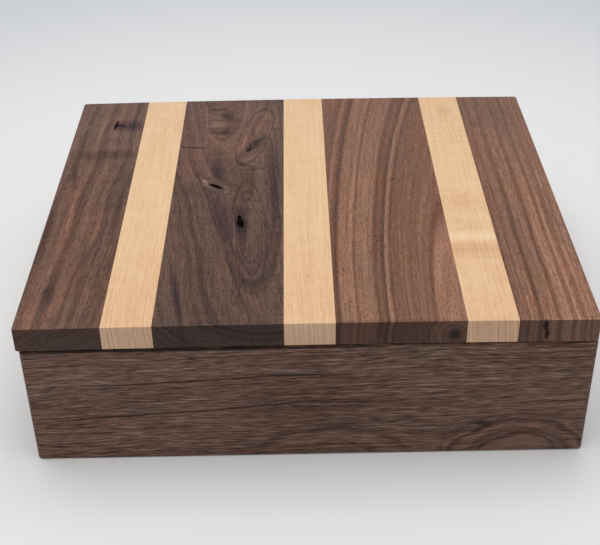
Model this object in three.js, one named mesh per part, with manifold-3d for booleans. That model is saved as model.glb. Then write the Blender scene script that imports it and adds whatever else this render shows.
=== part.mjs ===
// Keepsake box: a mitred walnut case under a walnut lid with three maple stripes, hinged along the back.
// Sizes are in millimetres. +X is to the right, +Y to the back and +Z up. The origin lies on the surface
// that the box stands on, under the middle of its overall outline.
import * as THREE from "three";
import { mergeVertices } from "three/addons/utils/BufferGeometryUtils.js";
import Module from "manifold-3d";

const wasm = await Module();
wasm.setup();

// Lid: seven staves glued edge to edge, their grain running front to back.
const leftStaveWidth = 45.7;
const innerStaveWidth = 68.25;
const rightStaveWidth = 42.7;
const stripeWidth = 26.7;
const lidThickness = 14.1;
const lidCrown = 0.9; // how far the middle of the lid has cupped upwards
const lidGap = 0.5; // between the case and the left and right edges of the lid
const lidArris = 0.5; // eased edge
const overhangLeft = 1.4; // the lid stands out past the case by this, and is flush at the back
const overhangRight = -0.5; // the case stands out past the lid there
const overhangFront = 0.5;

// Case: four walls mitred at the corners.
const caseDepth = 264.8;
const caseHeight = 76.3;
const wallThickness = 12.5;
const caseArris = 0.8; // eased edge
const glueLine = 0.1; // between boards, in the case and in the lid

// Bottom panel, loose in a groove round the inside of the walls.
const bottomThickness = 6;
const bottomRaise = 5; // from the lower edge of the walls
const grooveDepth = 6;
const panelPlay = 0.3;

// Hinges: two brass butt hinges let into the back wall and the lid, with ribs that stop them.
const leafLength = 25.4;
const leafReach = 9.5; // in from the back of the case
const leafThickness = 1.8;
const barrelRadius = 2.5;
const barrelStandOff = 0.3; // between the barrel and the back of the case
const knuckleGap = 0.25; // between neighbouring knuckles, and round each one
const ribThickness = 1.4; // of the ribs on both leaves, which meet when the lid is open
const pinRadius = 1.2;
const pinPlay = 0.12;
const pinHeadRadius = 1.9;
const pinHeadHeight = 0.7;
const hingeInset = 58; // from the side of the case to the middle of a hinge
const seatGap = 0.15; // round a leaf in its recess
const knuckleCount = 5;
const openAngle = THREE.MathUtils.degToRad(95);
const ribSlack = THREE.MathUtils.degToRad(1); // each rib is cut back by this
const ribSpan = THREE.MathUtils.degToRad(50);

// Screws: slotted, countersunk, two to a leaf.
const screwSpread = 15.5;
const screwLength = 9.5;
const screwRadius = 1.05;
const screwHeadRadius = 2.1;
const screwHeadHeight = 1.2;
const screwHeadRim = 0.3; // the straight part of the head, above its cone
const screwSlotWidth = 0.5;
const screwSlotDepth = 0.55;
const threadPitch = 1.5;
const threadDepth = 0.25;
const screwPlay = 0.15;

const overrun = 1; // how far a cutter runs past what it cuts
const roundSteps = 16; // steps in half a turn
const ribSteps = 4; // steps in half a rib
const screwSteps = 16; // steps in a whole turn

// Places that follow from the sizes.
const staveWidths = [
  leftStaveWidth,
  stripeWidth,
  innerStaveWidth,
  stripeWidth,
  innerStaveWidth,
  stripeWidth,
  rightStaveWidth,
];
const staveNames = [
  "lid_stave_left",
  "lid_stripe_left",
  "lid_stave_inner_left",
  "lid_stripe_middle",
  "lid_stave_inner_right",
  "lid_stripe_right",
  "lid_stave_right",
];
const lidWidth = staveWidths.reduce((sum, width) => sum + width);
const lidDepth = caseDepth + overhangFront;
const caseWidth = lidWidth - overhangLeft - overhangRight;
const ribInner = barrelRadius + knuckleGap;
const ribOuter = ribInner + ribThickness;
const ribEdge = openAngle / 2 + ribSlack;
const axisOffset = barrelRadius + barrelStandOff;
const hingeProud = axisOffset + Math.max(barrelRadius, ribOuter * Math.cos(ribEdge));
const lidFront = -(lidDepth + hingeProud) / 2;
const caseFront = lidFront + overhangFront;
const caseBack = caseFront + caseDepth;
const caseMiddleX = (overhangLeft - overhangRight) / 2;
const caseMiddleY = (caseFront + caseBack) / 2;
const lidUnderside = caseHeight + lidGap;
const hingeX = caseWidth / 2 - hingeInset;

const walnut = new THREE.MeshStandardMaterial({ color: 0x63483d, roughness: 0.55 });
const maple = new THREE.MeshStandardMaterial({ color: 0xe6c095, roughness: 0.5 });
const plywood = new THREE.MeshStandardMaterial({ color: 0xcfb184, roughness: 0.65 });
const brass = new THREE.MeshStandardMaterial({ color: 0xb99a5b, roughness: 0.35, metalness: 1 });

// A closed geometry as a solid that can be joined and cut.
function solidOf(geometry) {
  const bare = new THREE.BufferGeometry();
  bare.setAttribute("position", geometry.getAttribute("position"));
  bare.setIndex(geometry.index);
  const merged = mergeVertices(bare);
  const vertProperties = merged.attributes.position.array;
  const triVerts = new Uint32Array(merged.index.array);
  return new wasm.Manifold(new wasm.Mesh({ numProp: 3, vertProperties, triVerts }));
}

function geometryOf(solid) {
  const { vertProperties, triVerts } = solid.getMesh();
  const geometry = new THREE.BufferGeometry();
  geometry.setAttribute("position", new THREE.BufferAttribute(vertProperties, 3));
  geometry.setIndex(new THREE.BufferAttribute(triVerts, 1));
  const flat = geometry.toNonIndexed();
  flat.computeVertexNormals();
  return flat;
}

function cut(geometry, cutters) {
  return geometryOf(cutters.reduce((solid, cutter) => solid.subtract(solidOf(cutter)), solidOf(geometry)));
}

function join(geometries) {
  return geometryOf(geometries.map(solidOf).reduce((sum, solid) => sum.add(solid)));
}

function block(low, high) {
  const size = new THREE.Vector3().subVectors(high, low);
  const middle = new THREE.Vector3().addVectors(low, high).divideScalar(2);
  return new THREE.BoxGeometry(size.x, size.y, size.z).translate(middle.x, middle.y, middle.z);
}

function point(x, y, z) {
  return new THREE.Vector3(x, y, z);
}

// A section drawn in Y and Z, drawn out along X between two places.
function prismAlongX(section, from, to, curveSegments = roundSteps) {
  const turn = new THREE.Matrix4().makeBasis(point(0, 1, 0), point(0, 0, 1), point(1, 0, 0));
  return new THREE.ExtrudeGeometry(section, { depth: to - from, bevelEnabled: false, curveSegments })
    .translate(0, 0, from)
    .applyMatrix4(turn);
}

// An outline drawn in X and Y, drawn up between two heights.
function prismUp(outline, from, to) {
  return new THREE.ExtrudeGeometry(outline, { depth: to - from, bevelEnabled: false }).translate(0, 0, from);
}

function outlineOf(points) {
  return new THREE.Shape(points.map(([x, y]) => new THREE.Vector2(x, y)));
}

function turned(profile, steps) {
  const points = profile.map(([radius, height]) => new THREE.Vector2(radius, height));
  return new THREE.LatheGeometry(points, steps).rotateX(Math.PI / 2);
}

function piece(name, geometry, material, parent) {
  const mesh = new THREE.Mesh(geometry, material);
  mesh.name = name;
  parent.add(mesh);
  return mesh;
}

// Half the width of a recess for a leaf.
const recessHalf = leafLength / 2 + seatGap;
// Each screw's place along its leaf, and how far in from the back of the case all of them lie.
const screwPlaces = [-screwSpread / 2, screwSpread / 2];
const screwIn = leafReach / 2;
const pilotRadius = screwRadius + screwPlay;

function pilotHole(x, y, from, to) {
  const hole = new THREE.CylinderGeometry(pilotRadius, pilotRadius, to - from, screwSteps);
  return hole.rotateX(Math.PI / 2).translate(x, y, (from + to) / 2);
}

// One wall with its outer face on Y = 0, its groove inside, and both ends mitred.
function wall(length, extraCutters) {
  const grooveFloor = wallThickness - grooveDepth;
  const grooveLow = bottomRaise - panelPlay;
  const grooveHigh = bottomRaise + bottomThickness + panelPlay;
  const section = outlineOf([
    [caseArris, 0],
    [wallThickness, 0],
    [wallThickness, grooveLow],
    [grooveFloor, grooveLow],
    [grooveFloor, grooveHigh],
    [wallThickness, grooveHigh],
    [wallThickness, caseHeight - caseArris],
    [wallThickness - caseArris, caseHeight],
    [caseArris, caseHeight],
    [0, caseHeight - caseArris],
    [0, caseArris],
  ]);
  const board = prismAlongX(section, -length / 2, length / 2);
  const setBack = glueLine * Math.SQRT1_2; // along the wall, for half the glue line square to the mitre
  const tip = length / 2 - setBack;
  const mitres = [-1, 1].map((side) =>
    prismUp(
      outlineOf([
        [side * (tip + overrun), -overrun],
        [side * (tip - caseArris), -overrun],
        [side * (tip - caseArris), 0],
        [side * (tip - caseArris / 2), caseArris / 2],
        [side * (tip - wallThickness - overrun), wallThickness + overrun],
        [side * (tip + overrun), wallThickness + overrun],
      ]),
      -overrun,
      caseHeight + overrun,
    ),
  );
  return cut(board, [...mitres, ...extraCutters]);
}

// What the hinges take out of the back wall, in the wall's own frame.
function backWallCutters() {
  const floor = caseHeight - leafThickness - seatGap;
  return [-hingeX, hingeX].flatMap((x) => [
    block(
      point(x - recessHalf, -overrun, floor),
      point(x + recessHalf, leafReach + seatGap, caseHeight + overrun),
    ),
    ...screwPlaces.map((place) =>
      pilotHole(x + place, screwIn, caseHeight - screwLength - screwPlay, caseHeight),
    ),
  ]);
}

function buildCase() {
  const group = new THREE.Group();
  group.position.set(caseMiddleX, caseMiddleY, 0);

  const front = piece("front_wall", wall(caseWidth, []), walnut, group);
  front.position.y = -caseDepth / 2;

  const back = piece("back_wall", wall(caseWidth, backWallCutters()), walnut, group);
  back.position.y = caseDepth / 2;
  back.rotation.z = Math.PI;

  const left = piece("left_wall", wall(caseDepth, []), walnut, group);
  left.position.x = -caseWidth / 2;
  left.rotation.z = -Math.PI / 2;

  const right = piece("right_wall", wall(caseDepth, []), walnut, group);
  right.position.x = caseWidth / 2;
  right.rotation.z = Math.PI / 2;

  const intoWall = wallThickness - grooveDepth + panelPlay;
  const bottom = new THREE.BoxGeometry(caseWidth - 2 * intoWall, caseDepth - 2 * intoWall, bottomThickness);
  piece("bottom_panel", bottom, plywood, group).position.z = bottomRaise + bottomThickness / 2;
  return group;
}

// The lid's cupping: how far it stands, at a place across it, above its left and right edges.
function crownAt(x) {
  return lidCrown * (1 - (x / (lidWidth / 2)) ** 2);
}

// One flat stave between two places across the lid. Only the outside edges of the lid are eased.
function flatStave(from, to, outerLeft, outerRight) {
  const easedLeft = outerLeft ? lidArris : 0;
  const easedRight = outerRight ? lidArris : 0;
  const section = [
    [from + easedLeft, 0],
    [to - easedRight, 0],
    ...(outerRight ? [[to, lidArris], [to, lidThickness - lidArris]] : []),
    [to - easedRight, lidThickness],
    [from + easedLeft, lidThickness],
    ...(outerLeft ? [[from, lidThickness - lidArris], [from, lidArris]] : []),
  ];
  const endToEnd = new THREE.Matrix4().makeBasis(point(1, 0, 0), point(0, 0, 1), point(0, -1, 0));
  const board = new THREE.ExtrudeGeometry(outlineOf(section), { depth: lidDepth, bevelEnabled: false })
    .applyMatrix4(endToEnd)
    .translate(0, lidDepth, 0);
  const reach = lidArris + overrun;
  const corners = [
    [0, 0, 1, 1],
    [lidDepth, 0, -1, 1],
    [0, lidThickness, 1, -1],
    [lidDepth, lidThickness, -1, -1],
  ];
  const edges = corners.map(([y, z, inY, inZ]) =>
    prismAlongX(
      outlineOf([
        [y + inY * lidArris + inY * overrun, z - inZ * overrun],
        [y - inY * overrun, z - inZ * overrun],
        [y - inY * overrun, z + inZ * reach],
      ]),
      from - overrun,
      to + overrun,
    ),
  );
  return cut(board, edges);
}

function crowned(geometry) {
  const places = geometry.getAttribute("position");
  for (let i = 0; i < places.count; i++) places.setZ(i, places.getZ(i) + crownAt(places.getX(i)));
  return geometry;
}

// What the hinges take out of the lid, in the lid's frame, whose Z = 0 is its underside at its
// left and right edges.
function lidCutters() {
  const ceiling = leafThickness + seatGap;
  return [-hingeX, hingeX].flatMap((side) => {
    const x = caseMiddleX + side;
    return [
      block(
        point(x - recessHalf, lidDepth - leafReach - seatGap, -overrun),
        point(x + recessHalf, lidDepth + overrun, ceiling),
      ),
      ...screwPlaces.map((place) => pilotHole(x + place, lidDepth - screwIn, 0, screwLength + screwPlay)),
    ];
  });
}

function buildLid() {
  const group = new THREE.Group();
  group.position.set(0, lidFront, lidUnderside);
  let from = -lidWidth / 2;
  staveWidths.forEach((width, i) => {
    const first = i === 0;
    const last = i === staveWidths.length - 1;
    const left = first ? from : from + glueLine / 2;
    const right = last ? from + width : from + width - glueLine / 2;
    const stave = crowned(flatStave(left, right, first, last));
    const material = i % 2 === 0 ? walnut : maple;
    piece(staveNames[i], cut(stave, lidCutters()), material, group);
    from += width;
  });
  return group;
}

// A rib's section between a radius and the rib's outside, in Y and Z round the hinge's axis.
function ribFrom(inner) {
  const slice = new THREE.Shape();
  slice.absarc(0, 0, ribOuter, -ribEdge - ribSpan, -ribEdge, false);
  slice.absarc(0, 0, inner, -ribEdge, -ribEdge - ribSpan, true);
  slice.closePath();
  return slice;
}

function countersink(top) {
  return turned(
    [
      [0, top - leafThickness - overrun],
      [pilotRadius, top - leafThickness - overrun],
      [pilotRadius, top - screwHeadHeight - screwPlay],
      [screwHeadRadius + screwPlay, top - screwHeadRim],
      [screwHeadRadius + screwPlay, top + overrun],
      [0, top + overrun],
    ],
    screwSteps,
  );
}

// The leaf that lies in the case, in a frame whose X axis is the pin. Turned over, it is the lid's.
function leaf(parity) {
  const top = -lidGap / 2;
  const bottom = top - leafThickness;
  const innerEdge = -axisOffset - leafReach;
  const knuckleLength = (leafLength - (knuckleCount - 1) * knuckleGap) / knuckleCount;
  const parts = [
    block(point(-leafLength / 2, innerEdge, bottom), point(leafLength / 2, -ribInner, top)),
    prismAlongX(ribFrom(ribInner), -leafLength / 2, leafLength / 2, ribSteps),
  ];
  for (let i = parity; i < knuckleCount; i += 2) {
    const from = -leafLength / 2 + i * (knuckleLength + knuckleGap);
    const to = from + knuckleLength;
    const barrel = new THREE.Shape().absarc(0, 0, barrelRadius, 0, 2 * Math.PI, false);
    parts.push(
      prismAlongX(barrel, from, to),
      block(point(from, -ribInner - knuckleGap, bottom), point(to, 0, top)),
      prismAlongX(ribFrom(pinRadius), from, to, ribSteps),
    );
  }
  const boreRadius = pinRadius + pinPlay;
  const bore = new THREE.Shape().absarc(0, 0, boreRadius, 0, 2 * Math.PI, false);
  const holes = screwPlaces.map((place) => countersink(top).translate(place, -axisOffset - screwIn, 0));
  const drill = prismAlongX(bore, -leafLength / 2 - overrun, leafLength / 2 + overrun);
  return cut(join(parts), [drill, ...holes]);
}

function pin() {
  const half = leafLength / 2 + knuckleGap;
  const crest = half + pinHeadHeight;
  const rim = half + pinHeadHeight / 2;
  return turned(
    [
      [0, -crest],
      [pinHeadRadius / 2, -crest],
      [pinHeadRadius, -rim],
      [pinHeadRadius, -half],
      [pinRadius, -half],
      [pinRadius, half],
      [pinHeadRadius, half],
      [pinHeadRadius, rim],
      [pinHeadRadius / 2, crest],
      [0, crest],
    ],
    2 * roundSteps,
  ).rotateY(Math.PI / 2);
}

// A screw that points down, its head flush with Z = 0.
function screw() {
  const root = screwRadius - threadDepth;
  const neck = -screwHeadHeight;
  const turns = Math.floor((screwLength - screwHeadHeight) / threadPitch - 1);
  const thread = [];
  for (let i = turns; i > 0; i--) {
    thread.push([root, neck - i * threadPitch], [screwRadius, neck - i * threadPitch + threadPitch / 2]);
  }
  const body = turned(
    [
      [0, -screwLength],
      ...thread,
      [root, neck],
      [screwHeadRadius, -screwHeadRim],
      [screwHeadRadius, 0],
      [0, 0],
    ],
    screwSteps,
  );
  const slot = block(
    point(-screwHeadRadius - overrun, -screwSlotWidth / 2, -screwSlotDepth),
    point(screwHeadRadius + overrun, screwSlotWidth / 2, overrun),
  );
  return cut(body, [slot]);
}

function buildHinge(side, x) {
  const group = new THREE.Group();
  group.position.set(caseMiddleX + x, caseBack + axisOffset, caseHeight + lidGap / 2);
  piece(`${side}_hinge_case_leaf`, leaf(0), brass, group);
  piece(`${side}_hinge_lid_leaf`, leaf(1).rotateY(Math.PI), brass, group);
  piece(`${side}_hinge_pin`, pin(), brass, group);
  screwPlaces.forEach((place, i) => {
    const caseScrew = piece(`${side}_hinge_case_screw_${i + 1}`, screw(), brass, group);
    caseScrew.position.set(place, -axisOffset - screwIn, -lidGap / 2);
    const lidScrew = piece(`${side}_hinge_lid_screw_${i + 1}`, screw(), brass, group);
    lidScrew.position.set(place, -axisOffset - screwIn, lidGap / 2);
    lidScrew.rotation.x = Math.PI;
  });
  return group;
}

const box = new THREE.Group();
box.add(buildCase(), buildLid(), buildHinge("left", -hingeX), buildHinge("right", hingeX));

export default box;
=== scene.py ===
"""Keepsake box: a mitred walnut case under a hinged lid of walnut staves and maple stripes."""

import logging
import math
from collections.abc import Callable, Iterator, Sequence
from contextlib import contextmanager
from dataclasses import dataclass, field, replace
from enum import Enum
from functools import partial

import bmesh
import bpy
from mathutils import Matrix, Quaternion, Vector


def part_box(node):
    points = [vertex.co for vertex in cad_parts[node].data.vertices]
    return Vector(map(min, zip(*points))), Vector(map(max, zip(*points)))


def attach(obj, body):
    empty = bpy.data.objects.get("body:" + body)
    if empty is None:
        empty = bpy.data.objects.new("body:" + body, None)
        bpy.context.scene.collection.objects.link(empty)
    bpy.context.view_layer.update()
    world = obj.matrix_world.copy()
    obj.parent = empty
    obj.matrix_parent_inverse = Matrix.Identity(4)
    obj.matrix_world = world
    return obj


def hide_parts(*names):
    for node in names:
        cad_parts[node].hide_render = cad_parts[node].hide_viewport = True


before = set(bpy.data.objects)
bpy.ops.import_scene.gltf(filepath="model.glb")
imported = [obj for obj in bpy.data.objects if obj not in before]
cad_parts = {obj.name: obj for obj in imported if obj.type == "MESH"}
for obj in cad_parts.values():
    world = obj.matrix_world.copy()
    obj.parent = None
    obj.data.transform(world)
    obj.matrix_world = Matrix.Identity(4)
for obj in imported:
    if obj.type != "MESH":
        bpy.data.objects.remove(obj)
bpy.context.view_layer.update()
LOG = logging.getLogger("keepsake_box")

Piece = bpy.types.Object
Socket = bpy.types.NodeSocket
Triple = tuple[float, float, float]
Rings = tuple[tuple[float, float], ...]
Adder = Callable[..., Socket]  # add_node, bound to one node tree
Test = Callable[[Vector, Vector], bool]  # takes a middle in millimetres and a normal

MM = 0.001
HAIR = 0.001 * MM  # corners nearer than this are one
NEAR = 0.01  # millimetres that tell one place from another
UPRIGHT = 0.1  # a face's normal rises less than this where the face is upright
FLAT = 0.9  # and more than this where it is flat
RIM_LOW, RIM_HIGH = 0.3, 0.95  # an edge between such faces rises between these
SIDEWAYS = 0.5  # and it looks sideways where its normal goes further across than this

# Settings that many nodes share.
PRODUCT = {"operation": "MULTIPLY"}
SUM = {"operation": "ADD"}
DIFFERENCE = {"operation": "SUBTRACT"}
QUOTIENT = {"operation": "DIVIDE"}
SCALED_SUM = {"operation": "MULTIPLY_ADD"}  # the first input times the second, plus the third
DISTANCE = {"operation": "LENGTH"}
SOFT_STEP = {"interpolation_type": "SMOOTHSTEP"}
TONE_MIX = {"data_type": "FLOAT"}
COLOUR_MIX = {"data_type": "RGBA"}
TINT_MIX = {"data_type": "RGBA", "blend_type": "MULTIPLY"}
HUE_MIX = {"data_type": "RGBA", "blend_type": "COLOR"}
MIX_SHARE, TONE_FROM, TONE_TO, COLOUR_FROM, COLOUR_TO = 0, 2, 3, 6, 7  # a Mix node's inputs
MIXED_COLOUR = 2  # its output


def linear(code: str) -> tuple[float, float, float, float]:
    """Turn an sRGB hex colour into linear red, green, blue and alpha.

    Args:
        code: six hex digits after a hash sign.

    Returns:
        The colour as Blender's sockets take it.
    """
    shares = [int(code[i : i + 2], 16) / 255 for i in (1, 3, 5)]
    red, green, blue = (s / 12.92 if s <= 0.04045 else ((s + 0.055) / 1.055) ** 2.4 for s in shares)
    return red, green, blue, 1.0


def add_node(
    tree: bpy.types.NodeTree,
    kind: str,
    settings: dict | None = None,
    inputs: dict | None = None,
    stops: Sequence[tuple] = (),
    out: int | str = 0,
) -> Socket | None:
    """Add a node with its settings and links.

    Args:
        tree: the node tree that takes it.
        kind: the node's type, without "ShaderNode" in front.
        settings: attributes of the node.
        inputs: what goes into each input, by name or number: a socket is linked, other values are set.
        stops: a colour ramp's places, each with a hex colour or a grey tone.
        out: the output to return.

    Returns:
        The output socket, or nothing where the node has none.
    """
    node = tree.nodes.new("ShaderNode" + kind)
    for name, value in (settings or {}).items():
        setattr(node, name, value)
    for name, value in (inputs or {}).items():
        if isinstance(value, Socket):
            tree.links.new(value, node.inputs[name])
        else:
            node.inputs[name].default_value = value
    for number, (place, tone) in enumerate(stops):
        ramp = node.color_ramp.elements
        stop = ramp[number] if number < len(ramp) else ramp.new(place)
        stop.position = place
        stop.color = linear(tone) if isinstance(tone, str) else (tone, tone, tone, 1)
    return node.outputs[out] if len(node.outputs) else None


def corners(node: str) -> tuple[Vector, Vector]:
    """Return a CAD node's lowest and highest corners in millimetres."""
    low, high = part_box(node)
    return low / MM, high / MM


def activate(piece: Piece) -> None:
    """Select one object alone and make it active.

    Args:
        piece: the object.
    """
    bpy.ops.object.select_all(action="DESELECT")
    piece.select_set(True)
    bpy.context.view_layer.objects.active = piece


@contextmanager
def editing() -> Iterator[None]:
    """Keep the active object in edit mode for a while."""
    bpy.ops.object.mode_set(mode="EDIT")
    yield
    bpy.ops.object.mode_set(mode="OBJECT")


def copy_of(piece: Piece, name: str) -> Piece:
    """Copy an object with a mesh of its own.

    Args:
        piece: the object to copy.
        name: the copy's name.

    Returns:
        The copy, selected and active.
    """
    piece.hide_viewport = False
    activate(piece)
    bpy.ops.object.duplicate(linked=False)
    made = bpy.context.object
    made.name = name
    made.data.name = name
    return made


class Element(Enum):
    """What is picked in edit mode."""

    CORNER = "VERT"
    EDGE = "EDGE"
    FACE = "FACE"


def lie(part: bmesh.types.BMVert | bmesh.types.BMEdge | bmesh.types.BMFace) -> tuple[Vector, Vector]:
    """Find where a part of a mesh lies and which way it looks.

    Args:
        part: a corner, an edge or a face.

    Returns:
        Its middle in metres and its normal.
    """
    if isinstance(part, bmesh.types.BMVert):
        return part.co, part.normal
    if isinstance(part, bmesh.types.BMFace):
        return part.calc_center_median(), part.normal
    normal = sum((face.normal for face in part.link_faces), Vector())
    return (part.verts[0].co + part.verts[1].co) / 2, normal.normalized()


def pick(piece: Piece, kind: Element, wanted: Test) -> None:
    """Select a mesh's corners, edges or faces in edit mode by their place and normal.

    Args:
        piece: the object in edit mode.
        kind: what to select.
        wanted: tells whether an element is picked.
    """
    bpy.ops.mesh.select_mode(type=kind.value)
    bpy.ops.mesh.select_all(action="DESELECT")
    mesh = bmesh.from_edit_mesh(piece.data)
    mesh.normal_update()
    parts = {Element.CORNER: mesh.verts, Element.EDGE: mesh.edges, Element.FACE: mesh.faces}
    for part in parts[kind]:
        middle, normal = lie(part)
        part.select_set(wanted(middle / MM, normal))
    mesh.select_flush_mode()
    bmesh.update_edit_mesh(piece.data)


def round_edges(piece: Piece, radius: float, steps: int, wanted: Test) -> None:
    """Round some edges of a piece in edit mode.

    Args:
        piece: the object in edit mode.
        radius: in millimetres.
        steps: how many faces the rounding has.
        wanted: tells whether an edge is rounded.
    """
    pick(piece, Element.EDGE, wanted)
    bpy.ops.mesh.bevel(offset=radius * MM, segments=steps, profile=0.5, affect="EDGES")


def block(name: str, low: Sequence[float], high: Sequence[float]) -> Piece:
    """Add a block as the start of a piece.

    Args:
        name: the object's name.
        low: its lowest corner in millimetres.
        high: its highest corner in millimetres.

    Returns:
        The block, its place in its mesh.
    """
    bpy.ops.object.select_all(action="DESELECT")
    middle = [(a + b) / 2 * MM for a, b in zip(low, high)]
    size = [(b - a) * MM for a, b in zip(low, high)]
    bpy.ops.mesh.primitive_cube_add(size=1, location=middle, scale=size)
    bpy.ops.object.transform_apply(location=True, rotation=True, scale=True)
    made = bpy.context.object
    made.name = name
    made.data.name = name
    return made


def cut(piece: Piece, cutter: Piece) -> None:
    """Take a cutter's shape out of a piece, and delete the cutter.

    Args:
        piece: what is cut.
        cutter: a closed mesh.
    """
    activate(piece)
    tool = piece.modifiers.new("cut", "BOOLEAN")
    tool.operation = "DIFFERENCE"
    tool.solver = "EXACT"
    tool.object = cutter
    bpy.ops.object.modifier_apply(modifier=tool.name)
    bpy.data.objects.remove(cutter)


def finish_mesh(piece: Piece, smooth_below: float = 40) -> None:
    """Merge doubles, turn the faces outwards and smooth the rounded edges.

    Args:
        piece: the object to finish.
        smooth_below: faces that meet at less than this many degrees are shaded as one.
    """
    activate(piece)
    with editing():
        bpy.ops.mesh.select_all(action="SELECT")
        bpy.ops.mesh.remove_doubles(threshold=2 * HAIR)
        bpy.ops.mesh.normals_make_consistent(inside=False)
    bpy.ops.object.shade_smooth_by_angle(angle=math.radians(smooth_below))


def settle(piece: Piece, body: str, node: str, finish: bpy.types.Material) -> None:
    """Give a finished piece its material, its body and the CAD node that it stands for.

    Args:
        piece: the finished object.
        body: the CAD body that it rides on.
        node: the CAD node that it replaces.
        finish: its material.
    """
    piece.data.materials.clear()
    piece.data.materials.append(finish)
    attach(piece, body)
    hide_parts(node)
    LOG.info("%s stands for %s on %s", piece.name, node, body)


class Lay(Enum):
    """How a board lies: the rows turn the object's axes into across, along and deep in the board."""

    LID = ((1, 0, 0), (0, 1, 0), (0, 0, 1))
    LONG_WALL = ((0, 0, 1), (1, 0, 0), (0, 1, 0))
    SIDE_WALL = ((0, 0, 1), (0, 1, 0), (-1, 0, 0))

    def turn(self) -> Triple:
        """Return the rotation for a Mapping node."""
        return tuple(Matrix(self.value).to_euler("XYZ"))


THROUGH = 1e6  # thick enough to go right through a board


@dataclass(frozen=True)
class Patch:
    """An ellipse on a board's face, in millimetres.

    wide and long are half its sizes, and turn leans its length towards across in degrees. deep and
    thick limit it to a depth.
    """

    across: float
    along: float
    wide: float
    long: float
    turn: float = 0
    deep: float = field(default=0, kw_only=True)
    thick: float = field(default=THROUGH, kw_only=True)


@dataclass(frozen=True)
class Knot(Patch):
    """A place where a branch bends the growth rings.

    lift raises the rings there in millimetres, part is the share by which the fibres open round it,
    and calm how much fainter they are there. rings gives tones by distance from its middle, where 1 is
    its edge and a tone of 0.5 changes nothing.
    """

    lift: float = 0
    part: float = 0
    calm: float = 0
    rings: Rings = ()


@dataclass(frozen=True)
class Mark(Patch):
    """A darker or lighter place.

    tone is what it adds to the tone in its middle, warm moves the hue to red or to grey, core is the
    share of its size that is full, and even is how far the broad rings fade in it.
    """

    tone: float = 0
    warm: float = 0
    core: float = 0
    even: float = 0


@dataclass(frozen=True)
class Figure:
    """What the saw has met in one board. Lengths are in millimetres, and shares are parts of the tone.

    The pith lies at pith across and depth below the face where along is 0. lean and sweep bend it
    across, with along and with its square, dive and plunge sink it so, and taper narrows the rings.
    rings gives tones by distance from the pith. warmth is 0 for purple, then grey, brown and red.
    """

    lay: Lay
    origin: Triple
    pith: float = 0
    depth: float = 0
    lean: float = 0
    sweep: float = 0
    dive: float = 0
    plunge: float = 0
    taper: float = 0
    rings: Rings = ((0, 0.5), (1, 0.5))
    bright: float = 0  # added to the rings' tones
    ring_width: float = 3.0  # of one year
    ring_share: float = 0.06
    end_share: float = 0.1  # by which the years show more on end grain
    line_share: float = 0  # of the dark late wood
    line_every: float = 2.0  # in years
    fibre_share: float = 0.06
    fibre_width: float = 1.1
    dash_share: float = 0.05
    dash_width: float = 0.9
    dash_length: float = 9
    pore_share: float = 0.27
    pore_width: float = 0.85
    pore_length: float = 3.6
    cloud_share: float = 0.03
    curl: float = 0
    wander: float = 1.5  # of the fibres, over a hand's breadth
    waves: float = 0  # of the fibres, over a finger's breadth
    warmth: float = 0.5
    warmth_range: float = 0.13
    hue_share: float = 0.35
    knots: tuple[Knot, ...] = ()
    ripples: tuple[Mark, ...] = ()
    marks: tuple[Mark, ...] = ()
    seed: float = 0


@dataclass(frozen=True)
class Spot:
    """Sockets of a soft ellipse: its strength, its own coordinates, and how far off its middle is."""

    share: Socket
    own: Socket
    far: Socket


SPOT_EDGE = 1.4  # a soft ellipse fades out at this many times its size


def spot(add: Adder, place: Socket, at: Patch, core: float = 0) -> Spot:
    """Add the nodes of a soft ellipse on the board's face.

    Args:
        add: adds a node to the board's material.
        place: across, along and deep in millimetres.
        at: where it lies.
        core: the share of its size that is full.

    Returns:
        Its sockets.
    """
    lies = {
        "Location": (at.across, at.along, at.deep),
        "Rotation": (0, 0, -math.radians(at.turn)),
        "Scale": (at.wide, at.long, at.thick),
    }
    own = add("Mapping", {"vector_type": "TEXTURE"}, {"Vector": place, **lies})
    far = add("VectorMath", DISTANCE, {0: own}, out="Value")
    fade = {"From Min": core, "From Max": SPOT_EDGE, "To Min": 1, "To Max": 0}
    return Spot(add("MapRange", SOFT_STEP, {"Value": far, **fade}), own, far)


LATTICE_TURN = (0.5, 0.7, 0.9)  # keeps the noise's own lattice from lining up with a face
SEED_STEP = (1, 1.7, 0.6)  # the way that a seed moves a pattern
CLOUD_ROUGHNESS = 0.6


def counted(place: Socket, size: Sequence[float], seed: float) -> dict:
    """Return a Mapping node's inputs that count coordinates in clouds instead of millimetres."""
    moved = [seed * step for step in SEED_STEP]
    return {"Vector": place, "Scale": [1 / s for s in size], "Rotation": LATTICE_TURN, "Location": moved}


def noise(add: Adder, place: Socket, size: Sequence[float], seed: float, detail: float = 2) -> Socket:
    """Add cloudy noise.

    Args:
        add: adds a node to the material.
        place: the coordinates in millimetres.
        size: the size of a cloud in millimetres.
        seed: moves the pattern.
        detail: how many finer layers it has.

    Returns:
        The noise, from 0 to 1 about 0.5.
    """
    clouds = add("Mapping", {}, counted(place, size, seed))
    return add("TexNoise", {}, {"Vector": clouds, "Scale": 1, "Detail": detail, "Roughness": CLOUD_ROUGHNESS})


SLIT_CORE, SLIT_REACH = 0.126, 0.42  # half a slit's full part and its end, as shares of its cell


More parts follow.
